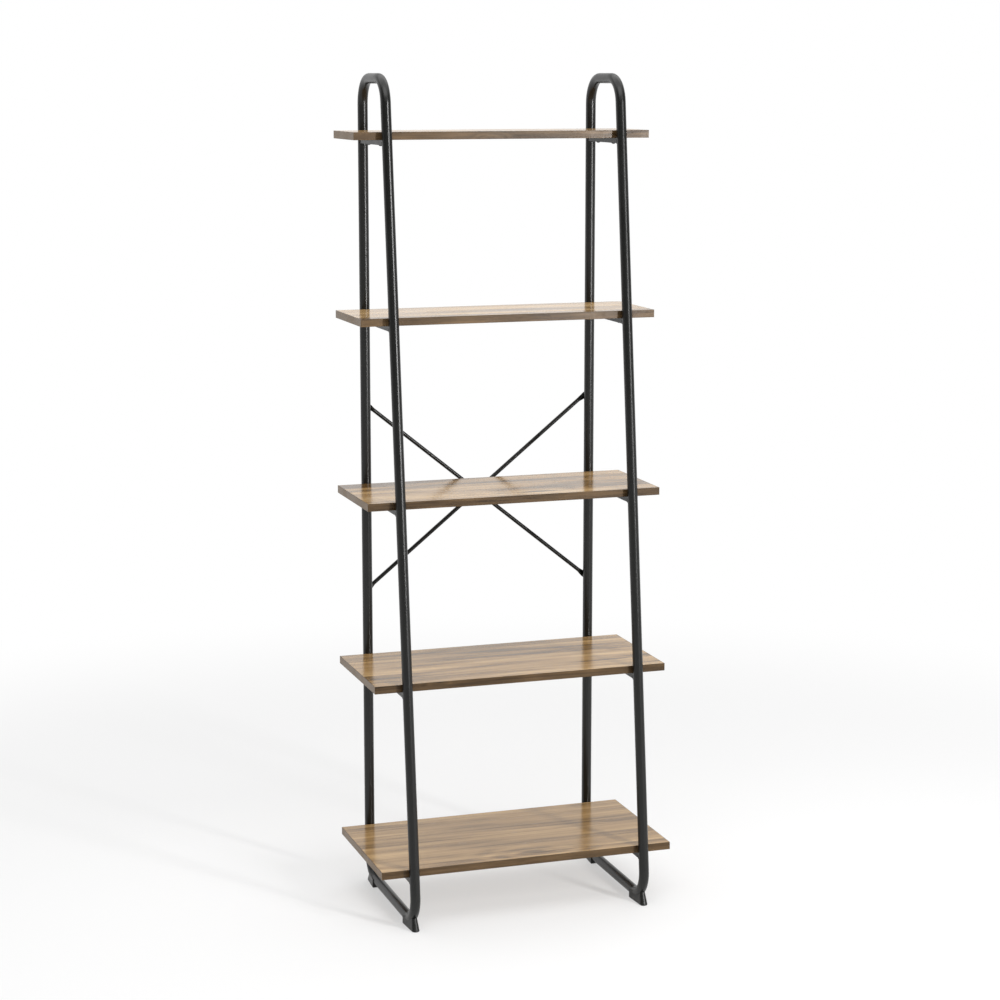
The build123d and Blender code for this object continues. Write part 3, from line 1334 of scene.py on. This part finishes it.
@dataclass(frozen=True)
class Softbox:
    """One rectangular studio light."""

    name: str
    place: Point
    aim: Point
    width: float
    height: float
    watts: float

    def build(self) -> None:
        """Hangs the light and points it."""
        lamp = bpy.data.lights.new(self.name, "AREA")
        lamp.shape = "RECTANGLE"
        lamp.size = self.width
        lamp.size_y = self.height
        lamp.energy = self.watts
        made = bpy.data.objects.new(self.name, lamp)
        made.location = self.place
        line = Vector(self.aim) - Vector(self.place)
        made.rotation_euler = line.to_track_quat("-Z", "Y").to_euler()
        bpy.context.scene.collection.objects.link(made)


@dataclass
class Studio:
    """Floor, surroundings, lights and camera."""

    camera_place: Point = (-1.489, -4.425, 1.640)
    camera_yaw: float = -18.50
    camera_dip: float = 10.10
    camera_reach: float = 200.0
    focal_pixels: float = 2397.0
    image_pixels: float = 1000.0
    sensor: float = 36.0
    floor_radius: float = 30.0
    floor_sides: int = 96
    floor_drop: float = 0.2 * MM
    floor_pale: Rgb = (0.8, 0.8, 0.8)
    floor_lift: float = 0.5
    floor_fade: Span = (1.1, 2.6)
    behind: float = 1.0
    ahead: float = 0.1
    ahead_to_behind: Span = (-0.2, 0.5)
    above: float = 0.85
    level_to_above: Span = (0.2, 0.42)
    boxes: tuple[Softbox, ...] = (
        Softbox("strip_right", (1.36, -2.56, 1.55), (0.0, 0.0, 1.3), width=0.24, height=1.6, watts=72.0),
        Softbox("front_top", (-0.4, -1.9, 3.7), (0.0, 0.0, 0.7), width=3.2, height=2.2, watts=36.0),
        Softbox("top", (0.0, -0.2, 3.4), (0.0, 0.0, 0.0), width=4.4, height=4.4, watts=92.0),
    )

    def build(self) -> None:
        """Sets up the whole studio."""
        bpy.context.scene.view_settings.view_transform = "Standard"
        self.build_camera()
        self.build_surroundings()
        self.build_floor()
        for box in self.boxes:
            box.build()
        LOG.info("studio: %d lights", len(self.boxes))

    def build_camera(self) -> None:
        """Stands the camera at the photograph's viewing angle."""
        lens = bpy.data.cameras.new("camera")
        lens.sensor_width = self.sensor
        lens.lens = self.focal_pixels / self.image_pixels * self.sensor
        lens.clip_end = self.camera_reach
        camera = bpy.data.objects.new("camera", lens)
        camera.location = self.camera_place
        camera.rotation_euler = (radians(90 - self.camera_dip), 0.0, radians(self.camera_yaw))
        bpy.context.scene.collection.objects.link(camera)
        bpy.context.scene.camera = camera

    def build_surroundings(self) -> None:
        """Makes a white sweep behind the shelf and a dimmer room in front of it."""
        world = bpy.data.worlds.new("studio")
        w = cleared(world)
        _, rearward, upward = w.split(w.node("ShaderNodeTexCoord").outputs["Generated"])
        room = w.remap(rearward, self.ahead_to_behind, (self.ahead, self.behind))
        level = w.times(room, w.remap(upward, self.level_to_above, (1.0, self.above)))
        ray = w.node("ShaderNodeLightPath").outputs
        seen = w.math("MAXIMUM", ray["Is Camera Ray"], ray["Is Transmission Ray"])
        light = w.node("ShaderNodeBackground")
        w.feed(light.inputs["Color"], WHITE)
        w.feed(light.inputs["Strength"], w.math("MAXIMUM", level, seen))
        end = w.node("ShaderNodeOutputWorld")
        w.feed(end.inputs["Surface"], light.outputs[0])
        bpy.context.scene.world = world

    def build_floor(self) -> bpy.types.Object:
        """Lays a pale floor that takes the shadow.

        Returns:
            The floor.
        """
        shape = bmesh.new()
        bmesh.ops.create_circle(shape, cap_ends=True, segments=self.floor_sides, radius=self.floor_radius)
        floor = link("floor", as_mesh(shape, "floor"))
        floor.location.z = -self.floor_drop
        floor.data.materials.append(self.floor_finish())
        return floor

    def floor_finish(self) -> bpy.types.Material:
        """Makes the floor's pale finish, which fades to white further out.

        Returns:
            The material.
        """
        material = bpy.data.materials.new("floor_pale")
        w = cleared(material)
        length = w.node("ShaderNodeVectorMath", operation="LENGTH")
        w.feed(length.inputs[0], w.node("ShaderNodeTexCoord").outputs["Object"])
        far = w.remap(length.outputs["Value"], self.floor_fade, (self.floor_lift, 1.0))
        ray = w.node("ShaderNodeLightPath").outputs
        mirrored = w.math("MAXIMUM", ray["Is Glossy Ray"], ray["Is Transmission Ray"])
        seen = w.math("MAXIMUM", ray["Is Camera Ray"], mirrored)
        plain = w.node("ShaderNodeBsdfDiffuse")
        w.feed(plain.inputs["Color"], self.floor_pale)
        white = w.node("ShaderNodeEmission")
        w.feed(white.inputs["Color"], WHITE)
        both = w.node("ShaderNodeMixShader")
        w.feed(both.inputs[0], w.times(far, seen))
        w.feed(both.inputs[1], plain.outputs[0])
        w.feed(both.inputs[2], white.outputs[0])
        end = w.node("ShaderNodeOutputMaterial")
        w.feed(end.inputs["Surface"], both.outputs[0])
        return material


def main() -> None:
    logging.basicConfig(level=logging.INFO, format="%(name)s: %(message)s")
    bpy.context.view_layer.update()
    Studio().build()
    effects = Effects(EdgeWear().build(), FineTexture().build(), OakFigure().build())
    bar_coat = BAR_COAT.material(effects)
    screw_steel = SCREW_BLACK.material(effects)

    frames = SideFrames()
    frames.dress(FRAME_COAT.material(effects))
    bars = CrossBars(frames)
    bars.dress(bar_coat)
    hand_over(bars.build(bar_coat))
    Boards().dress(BOARD_DECOR.material(effects), SHADED_EDGE_DECOR.material(effects))
    hand_over(BoardScrews().build(screw_steel))
    CrossBrace().dress(BRACE_COAT.material(effects), screw_steel)
    Feet().dress(FOOT_PLASTIC.material(effects))


if __name__ == "__main__":
    main()
